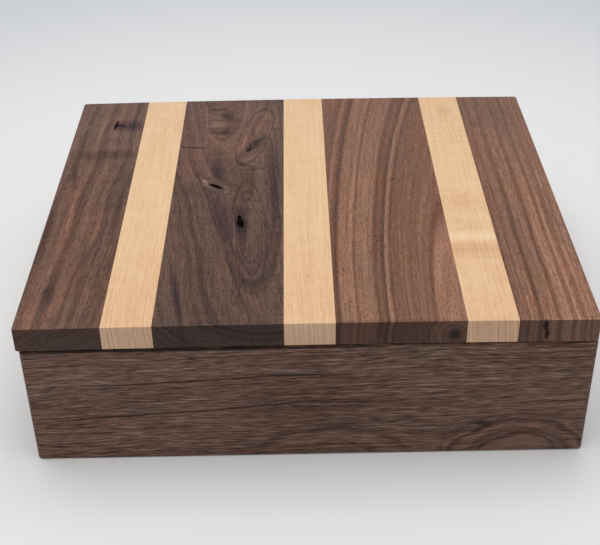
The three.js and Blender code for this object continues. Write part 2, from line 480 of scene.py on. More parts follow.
def slits(add: Adder, place: Socket, size: Sequence[float], seed: float) -> Socket:
    """Add scattered short slits, one in each cell.

    Args:
        add: adds a node to the material.
        place: the coordinates in millimetres.
        size: the size of a cell in millimetres.
        seed: moves the pattern.

    Returns:
        1 inside a slit, and 0 between them.
    """
    cells = add("Mapping", {}, counted(place, size, seed))
    far = add("TexVoronoi", {}, {"Vector": cells, "Scale": 1}, out="Distance")
    fade = {"From Min": SLIT_CORE, "From Max": SLIT_REACH, "To Min": 1, "To Max": 0}
    return add("MapRange", SOFT_STEP, {"Value": far, **fade})


def in_millimetres(add: Adder, turn: Triple = (0, 0, 0), origin: Triple = (0, 0, 0)) -> Socket:
    """Add the object's coordinates in millimetres.

    Args:
        add: adds a node to the material.
        turn: the rotation into the board's axes.
        origin: the place that they are counted from.

    Returns:
        The coordinates.
    """
    moved = {"Rotation": turn, "Scale": [1 / MM] * 3, "Location": [-o for o in origin]}
    return add("Mapping", {}, {"Vector": add("TexCoord", out="Object"), **moved})


@dataclass(frozen=True)
class Clouds:
    """A layer of soft noise in a board: its clouds' size in millimetres, its own seed and its detail."""

    across: float
    along: float
    seed: float
    detail: float = 2


SWING = 6.0  # stretches noise from 0 to 1 until it mostly fills -1 to 1
WAVES = Clouds(9, 26, 3)
DRIFT = Clouds(70, 110, 0, 1)
KNOT_EDGE = Clouds(14, 24, 23)
CURL = Clouds(24, 7, 7)
RIPPLE = Clouds(11, 4.5, 17)
COLOUR = Clouds(16, 55, 9)
STREAKS = Clouds(2.6, 80, 29, 1)
STRAND_LENGTH, STRAND_DETAIL = 60, 3
STRAND_SEED, DASH_SEED, PORE_SEED, FLECK_SEED = 5, 19, 13, 11
YEAR_DETAIL, YEAR_ROUGHNESS = 3, 0.65
YEAR_STEP = 10  # the years by which a seed moves the rings
KNOT_UNEVEN = 0.05  # how far the rings of a knot wobble, as a share of its size
LINE_UNEVEN = 2.5  # how far late wood strays, in years
# How strong late wood is from one dark line to the next.
LATE_WOOD = ((0, 0.7), (0.06, 0), (0.5, 0.1), (0.86, 0.45), (0.95, 1), (1, 0.7))
END_LOW, END_HIGH = 0.45, 0.8  # end grain starts and is full where the face looks so far along
MIDDLE_TONE = 0.5


class Grain:
    """One board's figure, which cuts the tree's rings as the saw did, as sockets for its shader.

    tone and warm choose the colour, fibre holds coordinates that follow the fibres, loud is how
    strongly fine grain shows, and end is 1 on end grain.
    """

    def __init__(self, add: Adder, figure: Figure) -> None:
        """Add the nodes of a board's figure.

        Args:
            add: adds a node to the board's material.
            figure: what the board shows.
        """
        self.add = add
        self.figure = figure
        self.place = in_millimetres(add, figure.lay.turn(), figure.origin)
        parts = add("SeparateXYZ", {}, {0: self.place}).node.outputs
        across, self.along, self.deep = parts["X"], parts["Y"], parts["Z"]
        if figure.waves:
            wave = self.clouds(self.place, WAVES)
            across = add("Math", SCALED_SUM, {0: wave, 1: figure.waves, 2: across})
            self.place = add("CombineXYZ", {}, {"X": across, "Y": self.along, "Z": self.deep})
        self.knots = [(knot, spot(add, self.place, knot)) for knot in figure.knots]
        self.ring, strand = self.cut_rings(self.flow(across))
        self.fibre = add("CombineXYZ", {}, {"X": strand, "Y": self.along, "Z": self.deep})
        self.end = self.end_grain()
        self.tone = self.broad_rings()
        self.add_years()
        self.add_knot_rings()
        self.loud = self.weave()
        self.add_curl()
        self.warm = self.drift_hue()
        self.add_marks()

    def swing(self, value: Socket) -> Socket:
        """Move noise to lie about 0, mostly between -1 and 1."""
        return self.add("Math", SCALED_SUM, {0: value, 1: SWING, 2: -SWING / 2})

    def clouds(self, place: Socket, layer: Clouds) -> Socket:
        """Add one layer of noise.

        Args:
            place: the coordinates in millimetres.
            layer: the noise's size, seed and detail.

        Returns:
            The noise, mostly between -1 and 1.
        """
        size = (layer.across, layer.along, layer.across)
        return self.swing(noise(self.add, place, size, self.figure.seed + layer.seed, layer.detail))

    def flow(self, across: Socket) -> Socket:
        """Let the fibres wander a little, and open round the knots.

        Args:
            across: the place across the board.

        Returns:
            The place across among the fibres.
        """
        drift = self.clouds(self.place, DRIFT)
        flow = self.add("Math", SCALED_SUM, {0: drift, 1: 0.5 * self.figure.wander, 2: across})
        for knot, spread in self.knots:
            if knot.part:
                beside = self.add("SeparateXYZ", {}, {0: spread.own})
                pushed = self.add("Math", PRODUCT, {0: beside, 1: spread.share})
                flow = self.add("Math", SCALED_SUM, {0: pushed, 1: -knot.part * knot.wide, 2: flow})
        return flow

    def cut_rings(self, flow: Socket) -> tuple[Socket, Socket]:
        """Measure how far each place lies from the pith, which is not quite straight.

        Args:
            flow: the place across among the fibres.

        Returns:
            The distance from the pith, and the distance across from it.
        """
        add, figure = self.add, self.figure
        square = add("Math", PRODUCT, {0: self.along, 1: self.along})
        leant = add("Math", SCALED_SUM, {0: self.along, 1: figure.lean, 2: figure.pith})
        pith = add("Math", SCALED_SUM, {0: square, 1: figure.sweep, 2: leant})
        beside = add("Math", DIFFERENCE, {0: flow, 1: pith})
        sunk = add("Math", SCALED_SUM, {0: self.along, 1: figure.dive, 2: figure.depth})
        depth = add("Math", SCALED_SUM, {0: square, 1: figure.plunge, 2: sunk})
        above = add("Math", SUM, {0: self.deep, 1: depth})
        ring = add("VectorMath", DISTANCE, {0: add("CombineXYZ", {}, {"X": beside, "Z": above})}, out="Value")
        for knot, spread in self.knots:
            ring = add("Math", SCALED_SUM, {0: spread.share, 1: knot.lift, 2: ring})
        narrow = add("Math", SCALED_SUM, {0: self.along, 1: -figure.taper, 2: 1.0})
        return add("Math", PRODUCT, {0: ring, 1: narrow}), add("Math", PRODUCT, {0: beside, 1: narrow})

    def end_grain(self) -> Socket:
        """Find the faces that look along the fibres.

        Returns:
            1 on end grain, and 0 elsewhere.
        """
        normal = self.add("TexCoord", out="Normal")
        turned = {"Vector": normal, "Rotation": self.figure.lay.turn()}
        turned_normal = self.add("Mapping", {"vector_type": "NORMAL"}, turned)
        along = self.add("SeparateXYZ", {}, {0: turned_normal}, out="Y")
        facing = self.add("Math", {"operation": "ABSOLUTE"}, {0: along})
        fade = {"From Min": END_LOW, "From Max": END_HIGH, "To Min": 0, "To Max": 1}
        return self.add("MapRange", SOFT_STEP, {"Value": facing, **fade})

    def banded(self, value: Socket, rings: Rings) -> Socket:
        """Turn a distance into the tones of rings.

        Args:
            value: the distance.
            rings: tones by distance.

        Returns:
            The tone.
        """
        span = rings[-1][0]
        share = self.add("Math", QUOTIENT, {0: value, 1: span})
        ramp = self.add("ValToRGB", {}, {"Fac": share}, [(radius / span, tone) for radius, tone in rings])
        return self.add("SeparateColor", {}, {0: ramp})

    def broad_rings(self) -> Socket:
        """Return the tones of the broad rings, which some marks even out."""
        tone = self.banded(self.ring, self.figure.rings)
        for mark in self.figure.marks:
            if mark.even:
                share = spot(self.add, self.place, mark, mark.core).share
                faded = self.add("Math", PRODUCT, {0: share, 1: mark.even})
                mixed = {MIX_SHARE: faded, TONE_FROM: tone, TONE_TO: MIDDLE_TONE}
                tone = self.add("Mix", TONE_MIX, mixed)
        return self.add("Math", SUM, {0: tone, 1: self.figure.bright})

    def add_years(self) -> None:
        """Add the uneven tones of single years, and the dark late wood at their edges."""
        add, figure = self.add, self.figure
        count = add("Math", QUOTIENT, {0: self.ring, 1: figure.ring_width})
        year = add("Math", SUM, {0: count, 1: figure.seed * YEAR_STEP})
        uneven = {"W": year, "Scale": 1, "Detail": YEAR_DETAIL, "Roughness": YEAR_ROUGHNESS}
        years = add("TexNoise", {"noise_dimensions": "1D"}, uneven)
        strength = add("Math", SCALED_SUM, {0: self.end, 1: figure.end_share, 2: figure.ring_share})
        self.tone = add("Math", SCALED_SUM, {0: self.swing(years), 1: strength, 2: self.tone})
        if figure.line_share:
            strayed = add("Math", SCALED_SUM, {0: years, 1: LINE_UNEVEN, 2: year})
            season = add("Math", QUOTIENT, {0: strayed, 1: figure.line_every})
            through = add("Math", {"operation": "FRACT"}, {0: season})
            late = self.banded(through, LATE_WOOD)
            self.tone = add("Math", SCALED_SUM, {0: late, 1: -figure.line_share, 2: self.tone})

    def add_knot_rings(self) -> None:
        """Add the rings round the knots."""
        for knot, spread in self.knots:
            if knot.rings:
                wobble = self.clouds(self.place, KNOT_EDGE)
                far = self.add("Math", SCALED_SUM, {0: wobble, 1: KNOT_UNEVEN, 2: spread.far})
                ringed = self.add("Math", SUM, {0: self.tone, 1: self.banded(far, knot.rings)})
                self.tone = self.add("Math", DIFFERENCE, {0: ringed, 1: MIDDLE_TONE})

    def weave(self) -> Socket | float:
        """Add long strands and short dashes along the fibres.

        Returns:
            How strongly fine grain shows, which is less in calm knots.
        """
        figure = self.figure
        long_clouds = Clouds(figure.fibre_width, STRAND_LENGTH, STRAND_SEED, STRAND_DETAIL)
        strands = self.clouds(self.fibre, long_clouds)
        dashes = self.clouds(self.fibre, Clouds(figure.dash_width, figure.dash_length, DASH_SEED))
        woven = self.add("Math", PRODUCT, {0: strands, 1: figure.fibre_share})
        woven = self.add("Math", SCALED_SUM, {0: dashes, 1: figure.dash_share, 2: woven})
        loud = 1.0
        for knot, spread in self.knots:
            if knot.calm:
                loud = self.add("Math", SCALED_SUM, {0: spread.share, 1: -knot.calm, 2: loud})
        self.tone = self.add("Math", SCALED_SUM, {0: woven, 1: loud, 2: self.tone})
        return loud

    def add_curl(self) -> None:
        """Add the bands that cross the fibres, all over or in some places."""
        if self.figure.curl:
            bands = self.clouds(self.fibre, CURL)
            self.tone = self.add("Math", SCALED_SUM, {0: bands, 1: self.figure.curl, 2: self.tone})
        for ripple in self.figure.ripples:
            share = spot(self.add, self.place, ripple).share
            swirl = self.add("Math", PRODUCT, {0: share, 1: self.clouds(self.place, RIPPLE)})
            self.tone = self.add("Math", SCALED_SUM, {0: swirl, 1: ripple.tone, 2: self.tone})

    def drift_hue(self) -> Socket:
        """Add soft clouds to the tone, and let the hue drift with them and in streaks.

        Returns:
            The warmth.
        """
        add, figure = self.add, self.figure
        clouds = self.clouds(self.place, COLOUR)
        streaks = self.clouds(self.fibre, STREAKS)
        self.tone = add("Math", SCALED_SUM, {0: clouds, 1: figure.cloud_share, 2: self.tone})
        warm = add("Math", SCALED_SUM, {0: clouds, 1: figure.warmth_range, 2: figure.warmth})
        return add("Math", SCALED_SUM, {0: streaks, 1: 0.5 * figure.warmth_range, 2: warm})

    def add_marks(self) -> None:
        """Add the darker, lighter, warmer and greyer places."""
        for mark in self.figure.marks:
            share = spot(self.add, self.place, mark, mark.core).share
            self.tone = self.add("Math", SCALED_SUM, {0: share, 1: mark.tone, 2: self.tone})
            if mark.warm:
                self.warm = self.add("Math", SCALED_SUM, {0: share, 1: mark.warm, 2: self.warm})


def new_material(name: str) -> tuple[bpy.types.Material, Adder]:
    """Make an empty material.

    Args:
        name: the material's name.

    Returns:
        The material, and what adds a node to it.
    """
    material = bpy.data.materials.new(name)
    material.use_nodes = True
    material.node_tree.nodes.clear()
    return material, partial(add_node, material.node_tree)


def close_surface(add: Adder, inputs: dict) -> None:
    """Add a material's shader and its output.

    Args:
        add: adds a node to the material.
        inputs: the shader's inputs.
    """
    add("OutputMaterial", {}, {"Surface": add("BsdfPrincipled", {}, inputs)})


@dataclass(frozen=True)
class BlackWalnut:
    """American black walnut, planed, sanded and wiped with satin oil: open pores and purple-brown rings."""

    darkest: str = "#221410"
    dark: str = "#442e27"
    middle: str = "#63483c"
    light: str = "#805c49"
    lightest: str = "#a67b5e"
    purple: str = "#5a454b"
    grey: str = "#594a41"
    red: str = "#7d4c3a"
    end_tint: str = "#aeadae"
    dark_richness: float = 1.3
    light_richness: float = 0.88
    richness_reach: float = 0.4
    level_drop: float = 0.05  # a board's own level lies so far under its rings'
    pore_depth: float = 0.06
    pore_relief: float = 0.35
    roughness: float = 0.5
    specular: float = 0.25

    def dress(self, name: str, figure: Figure) -> bpy.types.Material:
        """Make the material of one board.

        Args:
            name: the material's name.
            figure: what the board shows.

        Returns:
            The material.
        """
        material, add = new_material(name)
        grain = Grain(add, figure)
        # Open pores are slits 0.2 mm wide. They are drawn twice as wide, so that they show.
        size = (figure.pore_width, figure.pore_length, figure.pore_width)
        pores = slits(add, grain.fibre, size, figure.seed + PORE_SEED)
        drawn = add("Math", PRODUCT, {0: pores, 1: grain.loud})
        tone = add("Math", SCALED_SUM, {0: drawn, 1: -figure.pore_share, 2: grain.tone})
        tones = [(0, self.darkest), (0.25, self.dark), (0.5, self.middle)]
        tones += [(0.75, self.light), (1, self.lightest)]
        colour = add("ValToRGB", {}, {"Fac": tone}, tones)
        hues = [(0, self.purple), (0.22, self.grey), (0.5, self.middle), (0.85, self.red)]
        hue = add("ValToRGB", {}, {"Fac": grain.warm}, hues)
        hued = {MIX_SHARE: figure.hue_share, COLOUR_FROM: colour, COLOUR_TO: hue}
        hued_colour = add("Mix", HUE_MIX, hued, out=MIXED_COLOUR)
        # Oil makes the dark grain richer than the light.
        level = sum(ring[1] for ring in figure.rings) / len(figure.rings) + figure.bright - self.level_drop
        span = {"From Min": level - self.richness_reach, "From Max": level + self.richness_reach}
        richness = {"To Min": self.dark_richness, "To Max": self.light_richness}
        rich = add("MapRange", {}, {"Value": tone, **span, **richness})
        oiled = add("HueSaturation", {}, {"Color": hued_colour, "Saturation": rich})
        tint = {MIX_SHARE: grain.end, COLOUR_FROM: oiled, COLOUR_TO: linear(self.end_tint)}
        base = add("Mix", TINT_MIX, tint, out=MIXED_COLOUR)
        relief = {"Strength": self.pore_relief, "Distance": self.pore_depth * MM, "Height": pores}
        bump = add("Bump", {"invert": True}, relief)
        gloss = {"Roughness": self.roughness, "Specular IOR Level": self.specular}
        close_surface(add, {"Base Color": base, "Normal": bump, **gloss})
        return material


@dataclass(frozen=True)
class HardMaple:
    """Hard maple, planed, sanded and wiped with satin oil: cream, with fine rings and a faint curl."""

    brown: str = "#b5855e"
    dark: str = "#ca9b72"
    middle: str = "#e0b98f"
    light: str = "#eccda6"
    end_tint: str = "#ebeaf6"
    fleck_share: float = 0.3
    fleck_cell: Triple = (0.9, 3.2, 0.9)
    roughness: float = 0.42
    specular: float = 0.25

    def dress(self, name: str, figure: Figure) -> bpy.types.Material:
        """Make the material of one stripe.

        Args:
            name: the material's name.
            figure: what the stripe shows.

        Returns:
            The material.
        """
        material, add = new_material(name)
        grain = Grain(add, figure)
        tones = [(0, self.brown), (0.25, self.dark), (0.55, self.middle), (0.85, self.light)]
        colour = add("ValToRGB", {}, {"Fac": grain.tone}, tones)
        # Flecks: brown dashes about 0.5 mm wide and 1.7 mm long, where rays meet the face.
        flecks = slits(add, grain.fibre, self.fleck_cell, figure.seed + FLECK_SEED)
        share = add("Math", PRODUCT, {0: flecks, 1: self.fleck_share})
        flecked = {MIX_SHARE: share, COLOUR_FROM: colour, COLOUR_TO: linear(self.dark)}
        flecked_colour = add("Mix", COLOUR_MIX, flecked, out=MIXED_COLOUR)
        tint = {MIX_SHARE: grain.end, COLOUR_FROM: flecked_colour, COLOUR_TO: linear(self.end_tint)}
        base = add("Mix", TINT_MIX, tint, out=MIXED_COLOUR)
        gloss = {"Roughness": self.roughness, "Specular IOR Level": self.specular}
        close_surface(add, {"Base Color": base, **gloss})
        return material


@dataclass(frozen=True)
class BirchPlywood:
    """Birch plywood, sanded: a pale rotary-cut face with broad soft figure."""

    dark: str = "#c4a577"
    light: str = "#d8bd92"
    figure_size: Triple = (90, 22, 8)
    strand_size: Triple = (60, 0.8, 4)
    strand_share: float = 0.13
    strand_depth: float = 0.03
    strand_relief: float = 0.2
    roughness: float = 0.6
    specular: float = 0.3

    def dress(self, name: str) -> bpy.types.Material:
        """Make the material of the bottom panel.

        Args:
            name: the material's name.

        Returns:
            The material.
        """
        material, add = new_material(name)
        place = in_millimetres(add)
        broad = noise(add, place, self.figure_size, seed=4, detail=3)
        strands = noise(add, place, self.strand_size, seed=6)
        swung = add("Math", SCALED_SUM, {0: strands, 1: SWING, 2: -SWING / 2})
        tone = add("Math", SCALED_SUM, {0: swung, 1: self.strand_share, 2: broad})
        colour = add("ValToRGB", {}, {"Fac": tone}, [(0.3, self.dark), (0.7, self.light)])
        relief = {"Strength": self.strand_relief, "Distance": self.strand_depth * MM, "Height": strands}
        bump = add("Bump", {}, relief)
        gloss = {"Roughness": self.roughness, "Specular IOR Level": self.specular}
        close_surface(add, {"Base Color": colour, "Normal": bump, **gloss})
        return material


@dataclass(frozen=True)
class SatinBrass:
    """Extruded brass, brushed along the hinge: yellow metal with fine lines and a little tarnish."""

    clean: str = "#c6a45e"
    tarnished: str = "#ad8b50"
    clean_roughness: float = 0.3
    dull_roughness: float = 0.48
    cloud_size: Triple = (6, 4, 4)
    line_size: Triple = (9, 0.12, 0.12)
    line_depth: float = 0.02
    line_relief: float = 0.25

    def dress(self, name: str) -> bpy.types.Material:
        """Make the brass.

        Args:
            name: the material's name.

        Returns:
            The material.
        """
        material, add = new_material(name)
        place = in_millimetres(add)
        clouds = noise(add, place, self.cloud_size, seed=2, detail=3)
        lines = noise(add, place, self.line_size, seed=8)
        colour = add("ValToRGB", {}, {"Fac": clouds}, [(0.35, self.tarnished), (0.6, self.clean)])
        wear = {"To Min": self.dull_roughness, "To Max": self.clean_roughness}
        dull = add("MapRange", {}, {"Value": clouds, "From Min": 0.3, "From Max": 0.7, **wear})
        relief = {"Strength": self.line_relief, "Distance": self.line_depth * MM, "Height": lines}
        bump = add("Bump", {}, relief)
        close_surface(add, {"Base Color": colour, "Metallic": 1, "Roughness": dull, "Normal": bump})
        return material


@dataclass(frozen=True)
class BackdropPaper:
    """A sheet of matt white paper under the box, with painted shade that makes it greyer and bluer away from
    the box. Lengths are in metres.
    """

    near: str = "#eaeaea"
    # The far colour is painted shade, where less light reaches the paper.
    far: str = "#d0d3d7"
    near_reach: float = 0.26
    far_reach: float = 0.78
    roughness: float = 0.9
    specular: float = 0.1

    def dress(self, name: str) -> bpy.types.Material:
        """Make the paper.

        Args:
            name: the material's name.

        Returns:
            The material.
        """
        material, add = new_material(name)
        # Painted shade: the paper fades from its own white to the far colour away from the box.
        away = add("VectorMath", DISTANCE, {0: add("TexCoord", out="Object")}, out="Value")
        fade = {"From Min": self.near_reach, "From Max": self.far_reach, "To Min": 0, "To Max": 1}
        share = add("MapRange", SOFT_STEP, {"Value": away, **fade})
        shaded = {MIX_SHARE: share, COLOUR_FROM: linear(self.near), COLOUR_TO: linear(self.far)}
        colour = add("Mix", COLOUR_MIX, shaded, out=MIXED_COLOUR)
        gloss = {"Roughness": self.roughness, "Specular IOR Level": self.specular}
        close_surface(add, {"Base Color": colour, **gloss})
        return material


class Side(Enum):
    """The hinges, by where they stand."""

    LEFT = "left"
    RIGHT = "right"


class Half(Enum):
    """A hinge's halves, by the body that they ride on."""

    CASE = "case"
    LID = "lid"


@dataclass
class Hinge:
    """One butt hinge: two leaves, a pin and four screws. Lengths are in millimetres."""

    side: Side
    leaf: float = 1.8
    play: float = 0.15
    screw_spread: float = 7.75  # from the hinge's middle
    screw_in: float = 4.75  # from the back of the case
    pilot: float = 1.2  # the radius of a screw's hole
    pilot_depth: float = 9.65
    pilot_start: float = 0.5  # how far outside the face its cutter starts
    recess_start: float = 1.0
    recess_past: float = 2.0  # how far the cutter runs past the back
    pilot_sides: int = 24
    edge: float = 0.12
    edge_steps: int = 2
    edge_angle: float = 40  # edges sharper than this many degrees are eased
    flat_angle: float = 1  # faces that meet at less are made one
    smooth_below: float = 35

    def cutters(self, half: Half, face: float) -> list[Piece]:
        """Make the cutters for one leaf's recess and its screws' pilot holes.

        Args:
            half: which leaf it is.
            face: the height of the face that it is let into.

        Returns:
            The cutters.
        """
        low, high = corners(f"{self.side.value}_hinge_{half.value}_leaf")
        back = corners("back_wall")[1].y
        inward = 1 if half is Half.LID else -1
        bottom, top = sorted((face - inward * self.recess_start, face + inward * (self.leaf + self.play)))
        hole = sorted((face - inward * self.pilot_start, face + inward * self.pilot_depth))
        start = (low.x - self.play, low.y - self.play, bottom)
        made = [block("recess", start, (high.x + self.play, back + self.recess_past, top))]
        for spread in (-self.screw_spread, self.screw_spread):
            place = Vector(((low.x + high.x) / 2 + spread, back - self.screw_in, sum(hole) / 2))
            depth = (hole[1] - hole[0]) * MM
            bpy.ops.mesh.primitive_cylinder_add(
                vertices=self.pilot_sides, radius=self.pilot * MM, depth=depth, location=place * MM
            )
            bpy.ops.object.transform_apply(location=True, rotation=True, scale=True)
            made.append(bpy.context.object)
        return made

    def build(self, brass: bpy.types.Material) -> None:
        """Ease the edges of the leaves, the pin and the screws.

        Args:
            brass: their material.
        """
        parts = [(Half.CASE, "pin")]
        for half in Half:
            parts += [(half, f"{half.value}_{part}") for part in ("leaf", "screw_1", "screw_2")]
        for half, part in parts:
            node = f"{self.side.value}_hinge_{part}"
            made = copy_of(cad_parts[node], node.replace("_hinge", "_brass"))
            made.parent = None
            with editing():
                bpy.ops.mesh.select_all(action="SELECT")
                bpy.ops.mesh.remove_doubles(threshold=HAIR)
                bpy.ops.mesh.dissolve_limited(angle_limit=math.radians(self.flat_angle))
            soft = made.modifiers.new("soft", "BEVEL")
            soft.width = self.edge * MM
            soft.segments = self.edge_steps
            soft.limit_method = "ANGLE"
            soft.angle_limit = math.radians(self.edge_angle)
            bpy.ops.object.modifier_apply(modifier=soft.name)
            bpy.ops.object.shade_smooth_by_angle(angle=math.radians(self.smooth_below))
            settle(made, half.value, node, brass)


@dataclass
class Case:
    """Four mitred walls round a bottom panel. Lengths are in millimetres."""

    wall: float = 12.5
    skin: float = 5.0  # what lies nearer to the outline than this is outside
    corner: float = 2.4
    arris: float = 1.4
    inner_arris: float = 0.4
    panel_arris: float = 0.3
    corner_steps: int = 6
    arris_steps: int = 4
    fine_steps: int = 2  # of the inner and the panel's edges
    groove_depth: float = 6.0
    groove_play: float = 0.3
    low: Vector = field(init=False)
    high: Vector = field(init=False)

    def __post_init__(self) -> None:
        """Take the outline from the frame."""
        self.low, self.high = corners("left_wall")[0], corners("right_wall")[1]
        self.low.y, self.high.y = corners("front_wall")[0].y, corners("back_wall")[1].y

    def inside(self, middle: Vector) -> bool:
        """Tell whether a place is on the inner faces."""
        away = (middle.x - self.low.x, self.high.x - middle.x, middle.y - self.low.y, self.high.y - middle.y)
        return min(away) > self.skin

    def ring(self) -> Piece:
        """Model the four walls in one, with the groove and the rounded edges.

        Returns:
            The ring, to be cut apart at the mitres.
        """
        panel_low, panel_high = (corner.z for corner in corners("bottom_panel"))

        def groove(middle: Vector, normal: Vector) -> bool:
            """Tell whether a face is the bottom of the groove."""
            return self.inside(middle) and panel_low < middle.z < panel_high and abs(normal.z) < UPRIGHT

        def outer_corner(middle: Vector, normal: Vector) -> bool:
            """Tell whether an edge stands between two outer faces."""
            slant = min(abs(normal.x), abs(normal.y)) > RIM_LOW
            return not self.inside(middle) and abs(normal.z) < UPRIGHT and slant

        def outer_rim(middle: Vector, normal: Vector) -> bool:
            """Tell whether an edge runs round the outside, at the top or the bottom."""
            return not self.inside(middle) and RIM_LOW < abs(normal.z) < RIM_HIGH

        def inner_rim(middle: Vector, normal: Vector) -> bool:
            """Tell whether an edge runs round the opening."""
            return self.inside(middle) and middle.z > self.high.z - NEAR and abs(normal.z) < FLAT

        made = block("wall_ring", self.low, self.high)
        with editing():
            pick(made, Element.FACE, lambda middle, normal: abs(normal.z) > FLAT)
            bpy.ops.mesh.inset(thickness=self.wall * MM)
            bpy.ops.mesh.bridge_edge_loops()
            for height in (panel_low - self.groove_play, panel_high + self.groove_play):
                bpy.ops.mesh.select_all(action="SELECT")
                bpy.ops.mesh.bisect(plane_co=(0, 0, height * MM), plane_no=(0, 0, 1))
            pick(made, Element.FACE, groove)
            sunk = {"value": -self.groove_depth * MM, "use_even_offset": True}
            bpy.ops.mesh.extrude_region_shrink_fatten(TRANSFORM_OT_shrink_fatten=sunk)
            round_edges(made, self.corner, self.corner_steps, outer_corner)
            round_edges(made, self.arris, self.arris_steps, outer_rim)
            round_edges(made, self.inner_arris, self.fine_steps, inner_rim)
        return made

    def build(self, walnut: BlackWalnut, plywood: BirchPlywood, hinges: Sequence[Hinge]) -> None:
        """Cut the ring into four walls, let in the hinges, and add the bottom panel.

        Args:
            walnut: the walls' wood.
            plywood: the bottom panel's wood.
            hinges: what is let into the back wall.
        """
        left, right, front, back = self.low.x, self.high.x, self.low.y, self.high.y
        mitres = {
            "front_wall": ((left, front, -1, 1), (right, front, 1, 1)),
            "back_wall": ((left, back, -1, -1), (right, back, 1, -1)),
            "left_wall": ((left, front, 1, -1), (left, back, 1, 1)),
            "right_wall": ((right, front, -1, -1), (right, back, -1, 1)),
        }
        ring = self.ring()
        for node, planes in mitres.items():
            made = copy_of(ring, node.replace("_wall", "_board"))
            with editing():
                for x, y, over_x, over_y in planes:
                    plane = {"plane_co": (x * MM, y * MM, 0), "plane_no": (over_x, over_y, 0)}
                    bpy.ops.mesh.select_all(action="SELECT")
                    bpy.ops.mesh.bisect(**plane, use_fill=True, clear_outer=True, threshold=HAIR)
            if node == "back_wall":
                for hinge in hinges:
                    for cutter in hinge.cutters(Half.CASE, self.high.z):
                        cut(made, cutter)
            finish_mesh(made)
            finish = walnut.dress("black_walnut_" + node, FIGURES[node])
            settle(made, "case", node, finish)
        bpy.data.objects.remove(ring)
        made = block("bottom_board", *corners("bottom_panel"))
        with editing():
            round_edges(made, self.panel_arris, self.fine_steps, lambda middle, normal: True)
        finish_mesh(made)
        settle(made, "case", "bottom_panel", plywood.dress("birch_plywood_panel"))


@dataclass(frozen=True)
class Hollow:
    """A hole in a stave: its middle across, along and above the face, its half sizes, and its turn."""

    place: Triple
    half: Triple
    turn: Triple = (0, 0, 0)


